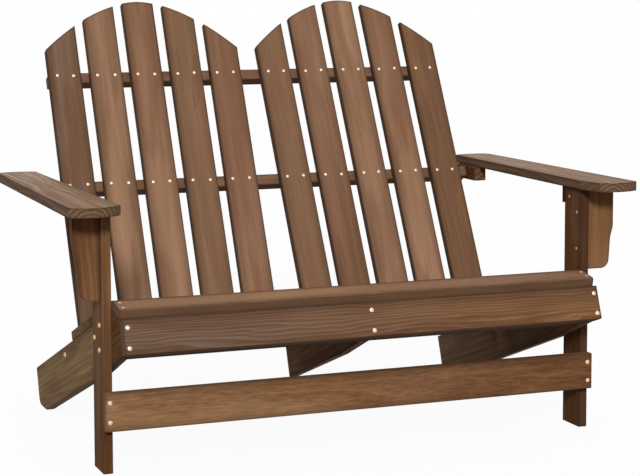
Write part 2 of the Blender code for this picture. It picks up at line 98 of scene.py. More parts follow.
# %% [markdown]
# ## Small helpers for materials
#
# A material is a tree of nodes. One function adds any node: it sets the node's own options, puts
# numbers into its sockets and links the sockets that another node feeds. Colours are written as
# the hex values of a paint chart, and Blender wants them linear, so one function turns them. A Mix
# node has sockets for numbers, vectors and colours under the same names, so those for colours
# are called by their places in the list.

# %% Write the material helpers
COLOURS = {"data_type": "RGBA"}
FIRST, SECOND, MIXED = 6, 7, 2
SMOOTH = {"interpolation_type": "SMOOTHSTEP"}


def linear(chart_colour):
    """Turn an sRGB hex colour into the linear colour that shaders read."""
    channels = []
    for start in (1, 3, 5):
        value = int(chart_colour[start:start + 2], 16) / 255
        channels.append(value / 12.92 if value <= 0.04045 else ((value + 0.055) / 1.055) ** 2.4)
    return (*channels, 1)


def add(tree, kind, options=None, sockets=None):
    """Add a shader node, set its options, and fill or link its sockets."""
    made = tree.nodes.new("ShaderNode" + kind)
    for option, value in (options or {}).items():
        setattr(made, option, value)
    for socket, value in (sockets or {}).items():
        if isinstance(value, bpy.types.NodeSocket):
            tree.links.new(value, made.inputs[socket])
        else:
            made.inputs[socket].default_value = value
    return made


print("mid brown is", [round(value, 3) for value in linear("#8C6952")])

# %% [markdown]
# ## Who sees the white background
#
# The seat stands on pure white. Enough light to turn a floor white would bleach the seat as well,
# so the floor and the world show one colour and shed another. Light Path tells rays apart. Those
# that leave the camera, also by way of a mirror or through glass, see white. The rest meet a
# darker floor and a weaker sky. Mirrored rays are in, so that the screws' plating shows the
# white. That lays a milky haze on faces seen at a low angle, which is why the oil below is kept
# very matt.

# %% Tell which rays see white
WHITE = linear("#FFFFFF")


def white_seers(tree):
    """Return 1 for rays from the camera, also mirrored or through glass, and else 0."""
    path = add(tree, "LightPath").outputs
    mirrored = add(tree, "Math", {"operation": "ADD"},
                   {0: path["Is Camera Ray"], 1: path["Is Glossy Ray"]})
    either = add(tree, "Math", {"operation": "ADD", "use_clamp": True},
                 {0: mirrored.outputs[0], 1: path["Is Transmission Ray"]})
    return either.outputs[0]


print("white is", WHITE)

# %% [markdown]
# ## The floor
#
# The floor is a wide pale sheet, wide enough that its edge is never seen. What the camera sees of
# it is mostly its own white glow and for the rest lit white paint. Paint alone would look grey,
# and a glow alone would show no shadow. Together they stay white but keep the seat's soft
# shadow. For light that bounces the floor is a darker warm grey, so that the undersides of the
# seat stay dark.

# %% Lay the floor
FLOOR_HALF_WIDTH = 40.0
FLOOR_BOUNCE = linear("#887B6E")
FLOOR_GLOW_SHARE = 0.94

floor_shape = bmesh.new()
bmesh.ops.create_grid(floor_shape, x_segments=1, y_segments=1, size=FLOOR_HALF_WIDTH)
floor_mesh = bpy.data.meshes.new("floor")
floor_shape.to_mesh(floor_mesh)
floor_shape.free()
floor = bpy.data.objects.new("floor", floor_mesh)
bpy.context.scene.collection.objects.link(floor)

floor_paint = bpy.data.materials.new("matt_white_floor")
floor_paint.use_nodes = True
tree = floor_paint.node_tree
tree.nodes.clear()
seen = white_seers(tree)
coat = add(tree, "Mix", COLOURS, {0: seen, FIRST: FLOOR_BOUNCE, SECOND: WHITE})
matt = add(tree, "BsdfDiffuse", {}, {"Color": coat.outputs[MIXED]})
glow = add(tree, "Emission", {}, {"Color": WHITE, "Strength": 1.0})
glow_share = add(tree, "Math", {"operation": "MULTIPLY"}, {0: seen, 1: FLOOR_GLOW_SHARE})
sheet = add(tree, "MixShader", {},
            {0: glow_share.outputs[0], 1: matt.outputs[0], 2: glow.outputs[0]})
add(tree, "OutputMaterial", {}, {"Surface": sheet.outputs[0]})
floor_mesh.materials.append(floor_paint)
print("floor: %.0f m wide" % (FLOOR_HALF_WIDTH * 2))

# %% [markdown]
# ## The world
#
# A picture of a studio could light the seat, but that pays off on polished faces, and the seat
# has none. A plain white world does. To the camera it is the white background, and to the boards
# a soft, weaker sky. The Standard view leaves colours as they are written.

# %% Paint the world
SKY_STRENGTH = 0.29

world = bpy.data.worlds.new("studio")
bpy.context.scene.world = world
world.use_nodes = True
tree = world.node_tree
tree.nodes.clear()
sky = add(tree, "Background", {}, {"Color": WHITE, "Strength": SKY_STRENGTH})
white = add(tree, "Background", {}, {"Color": WHITE, "Strength": 1.0})
both = add(tree, "MixShader", {},
           {0: white_seers(tree), 1: sky.outputs[0], 2: white.outputs[0]})
add(tree, "OutputWorld", {}, {"Surface": both.outputs[0]})
bpy.context.scene.view_settings.view_transform = "Standard"
print("sky strength: %.2f" % SKY_STRENGTH)

# %% [markdown]
# ## Soft studio light
#
# The arms' tops are lightest, and the faces to the front and to the left are a step darker. Each
# arm's nose lays a level, very dark band two centimetres deep on the bracket below it, and the
# left leg's own shadow on the back is hidden behind the leg. So a strong small light stands low,
# right beside the camera, and a weak one at the left, just so far round that it misses the faces
# to the front. A wide light hangs above, and another lifts the back. Area lamps would do, but
# they fade with distance and would grey the wide floor. A sun lamp lights everything evenly, and
# its angle sets how soft its shadows are.

# %% Hang the lamps
LAMPS = {
    # name: (degrees to the right of straight ahead, degrees up, strength, width in degrees)
    "front_light": (-21, 27, 1.82, 10),
    "left_light": (-96, 30, 0.14, 20),
    "top_light": (8, 74, 0.60, 50),
    "back_light": (165, 20, 0.80, 30),
}

for name, (side, up, strength, width) in LAMPS.items():
    lamp = bpy.data.objects.new(name, bpy.data.lights.new(name, "SUN"))
    lamp.data.energy = strength
    lamp.data.angle = radians(width)
    towards = Vector((sin(radians(side)) * cos(radians(up)),
                      -cos(radians(side)) * cos(radians(up)), sin(radians(up))))
    lamp.rotation_euler = towards.to_track_quat("Z", "Y").to_euler()
    bpy.context.scene.collection.objects.link(lamp)
    print(name, "shines from", [round(value, 2) for value in towards])

# %% [markdown]
# ## Measure every board
#
# Wood grain runs along a board, so each board's own directions are needed: along it, across it
# and through its thickness. They could be typed in from a drawing, but then they would be wrong
# as soon as the model changes. Here they are measured. A body's principal axes are the
# directions in which its surface spreads most and least, and for a board these are the three that
# a joiner would name. Each triangle counts by its area, so small holes don't pull them round.

# %% Find the boards' directions
FASTENERS = ("leg_bolt", "leg_nut", "rail_bolt")


def measure(node):
    """Return a board's middle, its axes as rows (along, across, through) and its half sizes."""
    mesh = node.data
    mesh.calc_loop_triangles()
    points = np.array([vertex.co for vertex in mesh.vertices])
    corners = np.array([points[list(face.vertices)] for face in mesh.loop_triangles])
    areas = np.array([face.area for face in mesh.loop_triangles])

    # a triangle's middle is a third of its corners' sum, its spread a twelfth of their products
    sums = corners.sum(axis=1)
    middle = (sums * areas[:, None]).sum(axis=0) / (3 * areas.sum())
    spread = np.einsum("f,fi,fj->ij", areas, sums, sums)
    spread += np.einsum("f,fki,fkj->ij", areas, corners, corners)
    spread = spread / (12 * areas.sum()) - np.outer(middle, middle)

    # the widest spread comes first, and the axes point to the right, back or up
    axes = np.linalg.eigh(spread)[1].T[::-1].copy()
    axes[0] *= np.sign(axes[0][np.abs(axes[0]).argmax()])
    axes[2] = np.cross(axes[0], axes[1])
    reach = (points - middle) @ axes.T
    middle = middle + (reach.min(axis=0) + reach.max(axis=0)) / 2 @ axes
    half = (reach.max(axis=0) - reach.min(axis=0)) / 2
    return Vector(middle), [Vector(axis) for axis in axes], half


boards = {name: measure(node) for name, node in nodes.items() if not name.startswith(FASTENERS)}
for name in ("back_slat_left_3", "arm_left", "stringer_left", "apron"):
    along, across, through = boards[name][2] * 2000
    print("%s: %.0f x %.0f x %.1f mm" % (name, along, across, through))

# %% [markdown]
# ## Oil-stained fir: its stains
#
# Fir is a pale softwood, here rubbed with a brown oil stain and left matt. The stain could be one
# flat brown, but on real boards it never takes evenly. So a stain is a pair of colours, where it
# stays light and where it goes in deep, and a board runs from one stain at its left, front or
# lower end to another at its far end, with patches of a third.

# %% Mix the stains
STAINS = {
    # name: (light, deep)
    "honey": ("#AD8669", "#8A6950"),
    "light": ("#A07B60", "#7F5E49"),
    "middle": ("#926E54", "#71523C"),
    "umber": ("#815F47", "#614633"),
    "mauve": ("#8E7162", "#67503F"),
    "moss": ("#8A6A50", "#69503C"),
    "russet": ("#926850", "#71503D"),
    "bronze": ("#9E7450", "#744F31"),
    "rust": ("#8E6142", "#66432B"),
    "amber": ("#AE7F58", "#86603F"),
    "tan": ("#BD9069", "#946F50"),
    "olive": ("#A48861", "#796242"),
    "dark": ("#75502F", "#50321E"),
    "driftwood": ("#A98C74", "#80664F"),
}
print("stains:", ", ".join(STAINS))

# %% [markdown]
# ## Oil-stained fir: its cuts
#
# Each year adds a ring to the log, a wide soft band and a narrow hard one, and a board is a slice
# through these rings: wide flames in the middle of its face, close lines near its edges, arcs on
# its ends. What shows depends on where the board was sawn, so a cut says how far the log's
# middle, the pith, lies beside and below the board's. There are five cuts: a plain one, a lined
# one with close rings, a curly one whose grain waves, a striped one, and one through the log's
# heart, whose ends show arcs. Real rings are 2 to 4 mm wide. They are drawn 4.5 to 12 mm wide, as
# finer ones don't show from four metres away.

# %% Choose the cuts
CUTS = {
    # name: (pith beside, pith below, ring width, how strongly rings show,
    #        fibre width, fibre length, how strongly fibres show)
    "plain": (0.020, 0.060, 0.012, 0.25, 0.0045, 0.130, 0.38),
    "lined": (0.050, 0.060, 0.0045, 0.55, 0.0025, 0.120, 0.55),
    "curly": (0.020, 0.050, 0.009, 0.25, 0.0045, 0.030, 0.85),
    "striped": (0.060, 0.030, 0.012, 0.30, 0.0060, 0.140, 0.60),
    "heart": (0.012, 0.022, 0.009, 0.55, 0.0035, 0.160, 0.55),
}
print("ring widths:", [round(cut[2] * 1000, 1) for cut in CUTS.values()], "mm")

# %% [markdown]
# ## Turn the wood to its board
#
# Grain has to run along its board, whichever way that stands. A UV map could carry it, but then
# it would break off at each edge, and real grain runs on round the corner. So Object coordinates
# are moved to the board's middle and turned to its axes. A Mapping node of the Texture kind does
# that, as it undoes a place and a turn: X is then along the grain, Y across the face and Z
# through the board. The same turn on the surface's normal tells which way a face looks: on an
# end its X is 1, on a narrow side its Y and on a wide face its Z.

# %% Write the turning helper
def turn_to_board(tree, board):
    """Return places on a board, their parts along its axes, and which way its faces look."""
    middle, axes, _ = board
    turn = Matrix(axes).transposed().to_euler()
    coordinates = add(tree, "TexCoord")
    places = add(tree, "Mapping", {"vector_type": "TEXTURE"},
                 {"Vector": coordinates.outputs["Object"], "Location": middle, "Rotation": turn})
    normals = add(tree, "Mapping", {"vector_type": "TEXTURE"},
                  {"Vector": coordinates.outputs["Normal"], "Rotation": turn})
    outward = add(tree, "VectorMath", {"operation": "ABSOLUTE"}, {0: normals.outputs[0]})
    parts = add(tree, "SeparateXYZ", {}, {0: places.outputs[0]})
    looks = add(tree, "SeparateXYZ", {}, {0: outward.outputs[0]})
    return places.outputs[0], parts.outputs, looks.outputs


print("the stretcher's grain runs along",
      [round(value, 2) for value in boards["stretcher"][1][0]])

# %% [markdown]
# ## Grow the rings
#
# The finish is made as a log, not as a flat pattern, so that a board's faces, sides and ends
# agree. A wave of rings runs round the pith. As no tree grows straight, a slow distortion bends
# it, and that draws the flames. The log is squeezed along its length first, so that a bend that
# is short across the grain is long with it. Seeded chance gives each board its own part of the
# log.

# %% Write the ring helper
WAVE_WIDTH = pi / 10  # of one ring of a Wave node whose scale is 1
LOG_SQUEEZE = 0.22
LOG_REACH = 9
PITH_SPREAD = (0.8, 1.2)
RING_BENDS = {"Distortion": 12.0, "Detail": 2.0, "Detail Scale": 0.28, "Detail Roughness": 0.5}

dice = Random(12)


def grow_rings(tree, places, beside, below, ring_width):
    """Return rings round a pith: each year's runs from 0 up to 1 and falls back at once."""
    pith = (dice.choice((-1, 1)) * beside * dice.uniform(*PITH_SPREAD),
            dice.choice((-1, 1)) * below * dice.uniform(*PITH_SPREAD))
    start = dice.uniform(-LOG_REACH, LOG_REACH)
    log = add(tree, "Mapping", {}, {"Vector": places, "Location": (start, *pith),
                                    "Scale": (LOG_SQUEEZE, 1, 1)})
    rings = add(tree, "TexWave",
                {"wave_type": "RINGS", "rings_direction": "X", "wave_profile": "SAW"},
                {"Vector": log.outputs[0], "Scale": WAVE_WIDTH / ring_width, **RING_BENDS})
    return rings.outputs["Fac"]


print("a bend is %.1f times as long as wide" % (1 / LOG_SQUEEZE))

# %% [markdown]
# ## Draw out fibres and patches
#
# Thin fibres lie along the grain, and some patches took more stain than others. Both are noise,
# drawn out so that each speck becomes a streak. Fibres are a few millimetres wide, which is
# coarser than real ones so that they show, and patches four centimetres. A picture of wood has
# both too, but it repeats, and no two boards would differ.

# %% Write the streak helper
FIBRE_DETAIL = {"Detail": 4.0, "Roughness": 0.62}
PATCH_WIDTH = 0.040
PATCH_LENGTH = 0.260
PATCH_DETAIL = {"Detail": 2.0, "Roughness": 0.5}


def draw_streaks(tree, places, start, length, width, detail):
    """Return streaks from 0 to 1 along the grain."""
    log = add(tree, "Mapping", {}, {"Vector": places, "Location": start,
                                    "Scale": (1 / length, 1 / width, 1 / width)})
    streaks = add(tree, "TexNoise", {}, {"Vector": log.outputs[0], "Scale": 1.0, **detail})
    return streaks.outputs["Fac"]


print("patches: %.0f x %.0f mm" % (PATCH_LENGTH * 1000, PATCH_WIDTH * 1000))

# %% [markdown]
# ## Soak in the stain
#
# Stain soaks into the soft early wood and less into the hard late wood, so each ring shows as a
# thin light line, and each fibre as a dark one. From one end of the board to the other the near
# stain gives way to the far one. A straight change would look sprayed on, so the patches make it
# ragged, and they also carry the third stain.

# %% Write the staining helpers
RING_SLOPE = 0.6
FIBRE_RANGE = (0.32, 0.68)
PATCH_RANGE = (0.44, 0.64)
PATCH_COVER = 0.7


def find_grain(tree, rings, fibres, ring_cover, fibre_cover):
    """Return 0 on a ring's hard line, and more where the wood is soft or a fibre runs."""
    ring_share = add(tree, "MapRange", SMOOTH,
                     {"Value": rings, "From Min": 0.0, "From Max": RING_SLOPE,
                      "To Min": 0.0, "To Max": ring_cover})
    fibre_share = add(tree, "MapRange", {},
                      {"Value": fibres, "From Min": FIBRE_RANGE[0], "From Max": FIBRE_RANGE[1],
                       "To Min": 0.0, "To Max": fibre_cover})
    grain = add(tree, "Math", {"operation": "ADD", "use_clamp": True},
                {0: ring_share.outputs[0], 1: fibre_share.outputs[0]})
    return grain.outputs[0]


def soak_in(tree, stains, grain, patches, along, half_length, change_share):
    """Return the stained wood's colour. The near stain changes to the far one in its middle."""
    near, far, patch = (
        add(tree, "Mix", COLOURS, {0: grain, FIRST: linear(STAINS[stain][0]),
                                   SECOND: linear(STAINS[stain][1])}).outputs[MIXED]
        for stain in stains
    )
    change = 2 * half_length * change_share
    change_start = change / 2 - half_length
    ragged = add(tree, "Math", {"operation": "MULTIPLY_ADD"}, {0: patches, 1: change, 2: along})
    far_share = add(tree, "MapRange", SMOOTH,
                    {"Value": ragged.outputs[0], "From Min": change_start,
                     "From Max": change_start + change, "To Min": 0.0, "To Max": 1.0})
    wood = add(tree, "Mix", COLOURS, {0: far_share.outputs[0], FIRST: near, SECOND: far})
    patch_share = add(tree, "MapRange", SMOOTH,
                      {"Value": patches, "From Min": PATCH_RANGE[0], "From Max": PATCH_RANGE[1],
                       "To Min": 0.0, "To Max": PATCH_COVER})
    stained = add(tree, "Mix", COLOURS, {0: patch_share.outputs[0],
                                         FIRST: wood.outputs[MIXED], SECOND: patch})
    return stained.outputs[MIXED]


print("a patch takes at most %.0f %% of its own stain" % (PATCH_COVER * 100))

# %% [markdown]
# ## Paint shade on rims and sides, and stain the ends
#
# Beside the long edges and on the narrow sides the wood is painted darker, as painted shade
# where the faces turn away from the light. On the ends the rings are cut across and show as arcs
# of light and dark. Materials of their own for sides and ends would meet in a hard line. Here
# each is laid on by the way that the face looks, so they run into each other round the corners.

# %% Write the helper for painted shade on rims and sides, and for the ends
# the dark colour of rims and narrow sides is painted shade
RIM_AND_SIDE_SHADE = "#4A3427"
RIM_RANGE = (0.35, 1.1)
RIM_COVER = 0.45
SIDE_RANGE = (0.55, 0.9)
END_STAINS = ("#8B6D52", "#4E3829")
END_RANGE = (0.45, 0.8)
END_COVER = 0.8


def shade_rims_sides_stain_ends(tree, wood, rings, parts, looks, half_width, painted_shade_share):
    """Return the colour with painted shade on rims and sides, and darker ends."""
    off_middle = add(tree, "Math", {"operation": "ABSOLUTE"}, {0: parts["Y"]})
    rim_share = add(tree, "MapRange", SMOOTH,
                    {"Value": off_middle.outputs[0], "From Min": half_width * RIM_RANGE[0],
                     "From Max": half_width * RIM_RANGE[1], "To Min": 0.0, "To Max": RIM_COVER})
    on_face = add(tree, "Math", {"operation": "MULTIPLY"},
                  {0: rim_share.outputs[0], 1: looks["Z"]})
    rimmed = add(tree, "Mix", COLOURS, {0: on_face.outputs[0], FIRST: wood,
                                        SECOND: linear(RIM_AND_SIDE_SHADE)})
    side_cover = add(tree, "MapRange", SMOOTH,
                     {"Value": looks["Y"], "From Min": SIDE_RANGE[0], "From Max": SIDE_RANGE[1],
                      "To Min": 0.0, "To Max": painted_shade_share})
    sided = add(tree, "Mix", COLOURS, {0: side_cover.outputs[0], FIRST: rimmed.outputs[MIXED],
                                       SECOND: linear(RIM_AND_SIDE_SHADE)})
    arcs = add(tree, "Mix", COLOURS, {0: rings, FIRST: linear(END_STAINS[0]),
                                      SECOND: linear(END_STAINS[1])})
    end_cover = add(tree, "MapRange", SMOOTH,
                    {"Value": looks["X"], "From Min": END_RANGE[0], "From Max": END_RANGE[1],
                     "To Min": 0.0, "To Max": END_COVER})
    ended = add(tree, "Mix", COLOURS, {0: end_cover.outputs[0], FIRST: sided.outputs[MIXED],
                                       SECOND: arcs.outputs[MIXED]})
    return ended.outputs[MIXED]


print("rim and side shade:", [round(value, 3) for value in linear(RIM_AND_SIDE_SHADE)])

# %% [markdown]
# ## Paint shade along the edges and the apron's lower edge
#
# Sanding rounds the edges, and a dark line of painted shade is laid along them, where they turn
# away from the light. A line could be modelled as a thin bevel with a colour of its own, but the
# CAD meshes stay as they are. So the Bevel node finds the edges: it gives the normal of a rounder
# copy, and where that turns away from the face's own, an edge is near. It reaches 8 mm, wider
# than a true line of shade, so that the line shows from four metres away. The apron stands on its
# edge, and a dark band of painted shade runs along its lower one.

# %% Write the helpers for painted shade on edges and on the apron's lower edge
# painted shade: a dark line along the edges and a band along the apron's lower edge
EDGE_LINE_SHADE = "#352B26"
EDGE_RADIUS = 0.008
EDGE_SAMPLES = 8
EDGE_RANGE = (0.99, 0.94)
LOWER_BAND_SHADE = "#3D2D23"
LOWER_BAND_FADE = 0.001


def paint_edge_shade(tree, wood, painted_shade_share):
    """Return the colour with a dark line of painted shade along the edges."""
    rounded = add(tree, "Bevel", {"samples": EDGE_SAMPLES}, {"Radius": EDGE_RADIUS})
    flat = add(tree, "NewGeometry")
    turned = add(tree, "VectorMath", {"operation": "DOT_PRODUCT"},
                 {0: rounded.outputs[0], 1: flat.outputs["True Normal"]})
    edge_cover = add(tree, "MapRange", SMOOTH,
                     {"Value": turned.outputs["Value"], "From Min": EDGE_RANGE[0],
                      "From Max": EDGE_RANGE[1], "To Min": 0.0, "To Max": painted_shade_share})
    edged = add(tree, "Mix", COLOURS, {0: edge_cover.outputs[0], FIRST: wood,
                                       SECOND: linear(EDGE_LINE_SHADE)})
    return edged.outputs[MIXED]


def paint_lower_band_shade(tree, wood, across, board, lower_band_width, painted_shade_share):
    """Return the colour with a band of painted shade along the board's lower edge."""
    _, axes, half = board
    down = -1 if axes[1].z > 0 else 1
    band = down * (half[1] - lower_band_width)
    lower_band_cover = add(tree, "MapRange", SMOOTH,
                    {"Value": across, "From Min": band - down * LOWER_BAND_FADE,
                     "From Max": band + down * LOWER_BAND_FADE, "To Min": 0.0, "To Max": painted_shade_share})
    banded = add(tree, "Mix", COLOURS, {0: lower_band_cover.outputs[0], FIRST: wood,
                                        SECOND: linear(LOWER_BAND_SHADE)})
    return banded.outputs[MIXED]


print("edges show within %.0f mm" % (EDGE_RADIUS * 1000))

# %% [markdown]
# ## Put the wood together
#
# All this meets in one material for each board. Oil leaves fir nearly matt, so its gloss is kept
# far below the usual level. The rings' hard lines are a little smoother than the soft wood and
# stand up from it by half a millimetre, as on any brushed softwood. That could be modelled, but
# it would take millions of faces, so it is a bump.

# %% Write the wood material
FIR_IOR = 1.5
OIL_GLOSS = 0.04
OIL_ROUGHNESS = (0.60, 0.78)
GRAIN_RELIEF = 0.0006
GRAIN_STRENGTH = 0.5


def oil_stained_fir(name, board, stains, cut, painted_shade_share, change_share, lower_band_width):
    """Make one board's wood, cut from its own place in the log."""
    beside, below, ring_width, ring_cover, fibre_width, fibre_length, fibre_cover = CUTS[cut]
    _, _, half = board
    material = bpy.data.materials.new("oil_stained_fir_" + name)
    material.use_nodes = True
    tree = material.node_tree
    tree.nodes.clear()

    places, parts, looks = turn_to_board(tree, board)
    rings = grow_rings(tree, places, beside, below, ring_width)
    start = (dice.uniform(-LOG_REACH, LOG_REACH), 0, 0)
    fibres = draw_streaks(tree, places, start, fibre_length, fibre_width, FIBRE_DETAIL)
    start = (dice.uniform(-LOG_REACH, LOG_REACH), dice.uniform(-LOG_REACH, LOG_REACH), 0)
    patches = draw_streaks(tree, places, start, PATCH_LENGTH, PATCH_WIDTH, PATCH_DETAIL)
    grain = find_grain(tree, rings, fibres, ring_cover, fibre_cover)

    wood = soak_in(tree, stains, grain, patches, parts["X"], half[0], change_share)
    # painted shade on rims, narrow sides, edges and the apron's lower edge; darker ends
    wood = shade_rims_sides_stain_ends(tree, wood, rings, parts, looks, half[1], painted_shade_share)
    wood = paint_edge_shade(tree, wood, painted_shade_share)
    if lower_band_width:
        wood = paint_lower_band_shade(tree, wood, parts["Y"], board, lower_band_width, painted_shade_share)

    matt = add(tree, "MapRange", {}, {"Value": grain, "To Min": OIL_ROUGHNESS[0],
                                      "To Max": OIL_ROUGHNESS[1]})
    relief = add(tree, "Bump", {"invert": True}, {"Strength": GRAIN_STRENGTH,
                                                  "Distance": GRAIN_RELIEF, "Height": grain})
    shader = add(tree, "BsdfPrincipled", {},
                 {"Base Color": wood, "IOR": FIR_IOR, "Specular IOR Level": OIL_GLOSS,
                  "Roughness": matt.outputs[0], "Normal": relief.outputs[0]})
    add(tree, "OutputMaterial", {}, {"Surface": shader.outputs[0]})
    return material


print("oil gloss: %.2f, roughness: %.2f to %.2f" % (OIL_GLOSS, *OIL_ROUGHNESS))

# %% [markdown]
# ## Stain the boards
#
# No two boards of a real seat match, as they are cut from different logs. Each board gets its own
# piece of the log, its stains and its cut. The arms' tops are bleached and greyer, the slats
# warm, the legs and rails deep. Narrow sides mostly get painted shade, but not on the left leg,
# which turns its own to the front. One stain changes to the other over the whole board, but on the
# stringers over a quarter of it, so that their noses are darker: painted shade beside the legs.
# The left leg's darker lower end is painted shade as well. A board's material is put on its
# object's slot, so the CAD mesh itself isn't touched.

# %% Give each board its finish
FINISHES = {
    # board: (stain at its near end, stain at its far end, stain in its patches,
    #         cut, how much painted shade its rims, sides and edges get)
    "apron": ("mauve", "bronze", "umber", "lined", 0.9),
    "arm_back_rail": ("light", "light", "middle", "striped", 0.3),
    "arm_block_left": ("dark", "dark", "umber", "striped", 0.3),
    "arm_block_right": ("dark", "dark", "umber", "striped", 0.3),
    "arm_bracket_left": ("rust", "rust", "bronze", "striped", 0.3),
    "arm_bracket_right": ("bronze", "bronze", "amber", "plain", 0.3),
    "arm_cleat_left": ("dark", "dark", "umber", "striped", 0.3),
    "arm_cleat_right": ("dark", "dark", "umber", "striped", 0.3),
    "arm_left": ("driftwood", "driftwood", "light", "heart", 0.5),
    "arm_right": ("driftwood", "driftwood", "light", "heart", 0.5),
    "back_slat_left_1": ("umber", "umber", "mauve", "plain", 0.8),
    "back_slat_left_2": ("honey", "light", "moss", "plain", 0.8),
    "back_slat_left_3": ("honey", "middle", "russet", "plain", 0.8),
    "back_slat_left_4": ("middle", "middle", "moss", "plain", 0.8),
    "back_slat_left_5": ("light", "middle", "russet", "plain", 0.8),
    "back_slat_right_1": ("umber", "umber", "bronze", "plain", 0.8),
    "back_slat_right_2": ("honey", "middle", "russet", "plain", 0.8),
    "back_slat_right_3": ("light", "honey", "middle", "plain", 0.8),
    "back_slat_right_4": ("umber", "light", "russet", "plain", 0.8),
    "back_slat_right_5": ("middle", "middle", "moss", "plain", 0.8),
    "front_seat_slat": ("honey", "light", "tan", "lined", 0.5),
    # the dark stain at the left leg's lower end is painted shade, darker towards the floor
    "leg_left": ("dark", "bronze", "umber", "striped", 0.0),
    "leg_right": ("dark", "dark", "umber", "plain", 0.65),
    "lower_back_rail": ("dark", "dark", "umber", "striped", 0.3),
    "seat_slat_1": ("middle", "umber", "light", "lined", 0.4),
    "seat_slat_2": ("light", "middle", "umber", "plain", 0.4),
    "seat_slat_3": ("middle", "light", "umber", "lined", 0.4),
    "seat_slat_4": ("umber", "middle", "light", "plain", 0.4),
    "stretcher": ("tan", "rust", "amber", "curly", 0.3),
    "stringer_centre": ("umber", "driftwood", "tan", "striped", 0.3),
    "stringer_left": ("dark", "olive", "umber", "striped", 0.3),
    "stringer_right": ("umber", "driftwood", "tan", "striped", 0.3),
    "upper_back_rail": ("light", "light", "middle", "striped", 0.3),
}
# on the stringers the dark near stain on their noses is painted shade beside the legs
STRINGER_SHADED_NOSE_CHANGE_SHARE = 0.25
# width of the band of painted shade along the apron's lower edge
LOWER_BAND_WIDTHS = {"apron": 0.0065}

for name, board in boards.items():
    *stains, cut, painted_shade_share = FINISHES[name]
    change_share = STRINGER_SHADED_NOSE_CHANGE_SHARE if name.startswith("stringer") else 1.0
    nodes[name].material_slots[0].material = oil_stained_fir(
        name, board, stains, cut, painted_shade_share, change_share, LOWER_BAND_WIDTHS.get(name, 0)
    )
print("stained boards:", len(boards))

# %% [markdown]
# ## Zinc plating
#
# The screws, bolts and nuts are steel with a zinc coat: clear and slightly warm on the screws,
# yellow on the bolts. It is a metal, so its colour is the colour of its mirror image, and its IOR
# stays as it is. An even coat would look like new chrome. Zinc dulls in patches of a few
# millimetres, so noise of that size moves the roughness and the tint.

# %% Plate the bolts and nuts
CLEAR_ZINC = ("#EADCCB", "#C9B5A0")
YELLOW_ZINC = ("#DDC293", "#9E7E52")
ZINC_PATCH = 0.003
ZINC_DETAIL = 3.0
ZINC_ROUGHNESS = (0.45, 0.70)
ZINC_RELIEF = 0.0001
ZINC_STRENGTH = 0.2


def zinc_plate(name, bright, dull):
    """Make a zinc coat that runs between two colours."""
    material = bpy.data.materials.new(name)
    material.use_nodes = True
    tree = material.node_tree
    tree.nodes.clear()
    places = add(tree, "TexCoord")
    dulling = add(tree, "TexNoise", {}, {"Vector": places.outputs["Object"],
                                         "Scale": 1 / ZINC_PATCH,
                                         "Detail": ZINC_DETAIL}).outputs["Fac"]
    tint = add(tree, "Mix", COLOURS, {0: dulling, FIRST: linear(bright), SECOND: linear(dull)})
    sheen = add(tree, "MapRange", {}, {"Value": dulling, "To Min": ZINC_ROUGHNESS[0],
                                       "To Max": ZINC_ROUGHNESS[1]})
    relief = add(tree, "Bump", {}, {"Strength": ZINC_STRENGTH, "Distance": ZINC_RELIEF,
                                    "Height": dulling})
    shader = add(tree, "BsdfPrincipled", {},
                 {"Base Color": tint.outputs[MIXED], "Metallic": 1.0,
                  "Roughness": sheen.outputs[0], "Normal": relief.outputs[0]})
    add(tree, "OutputMaterial", {}, {"Surface": shader.outputs[0]})
    return material


clear_zinc = zinc_plate("zinc_plated_screws", *CLEAR_ZINC)
yellow_zinc = zinc_plate("yellow_zinc_bolts", *YELLOW_ZINC)
for name, node in nodes.items():
    if name.startswith(FASTENERS):
        node.material_slots[0].material = yellow_zinc
print("plated bolts and nuts:", len(nodes) - len(boards))

# %% [markdown]
# ## Wood screws
#
# Every slat is held by two screws at each rail, and the apron, the stretcher and the seat's slats
# by two at each end. From far away they are pale dots, but close up each is a flat countersunk
# head with a cross cut into it. A short cylinder would give the head without its cross. Here the
# head starts as a grid of five by five faces, whose rim is pulled out into a circle. Its outer
# edge is then extruded down into the cone that sits in the wood.

# %% Round a screw head
HEAD_RADIUS = 0.0034
HEAD_DOME = 0.0006
HEAD_DEPTH = 0.0020
CONE_SHARE = 0.5
CELLS = 5

head = bmesh.new()
bmesh.ops.create_grid(head, x_segments=CELLS, y_segments=CELLS, size=HEAD_RADIUS)
for vertex in head.verts:
    square = max(abs(vertex.co.x), abs(vertex.co.y)) / HEAD_RADIUS
    rounding = 1 + (square * HEAD_RADIUS / vertex.co.length - 1) * square ** 2
    vertex.co *= rounding
    vertex.co.z = HEAD_DOME * (1 - square ** 2)
rim = [edge for edge in head.edges if edge.is_boundary]
skirt = bmesh.ops.extrude_edge_only(head, edges=rim)["geom"]
lower = [item for item in skirt if isinstance(item, bmesh.types.BMVert)]
bmesh.ops.scale(head, vec=Vector((CONE_SHARE, CONE_SHARE, 1)), verts=lower)
bmesh.ops.translate(head, vec=Vector((0, 0, -HEAD_DEPTH)), verts=lower)
bmesh.ops.holes_fill(head, edges=[edge for edge in head.edges if edge.is_boundary])
bmesh.ops.recalc_face_normals(head, faces=head.faces)
print("one screw head: %d faces, %.1f mm across" % (len(head.faces), HEAD_RADIUS * 2000))

# %% [markdown]
# ## The cross in the head
#
# A driver's cross is a small recess. It could be cut with a Boolean, but that leaves long thin
# faces, and the grid already holds a cross: the middle face and its four neighbours. These are
# inset and pushed in.

# %% Press in the cross
CROSS_CELLS = 3
CROSS_DEPTH = 0.0003
CROSS_MARGIN = 0.0003
FACES_UP = 0.5

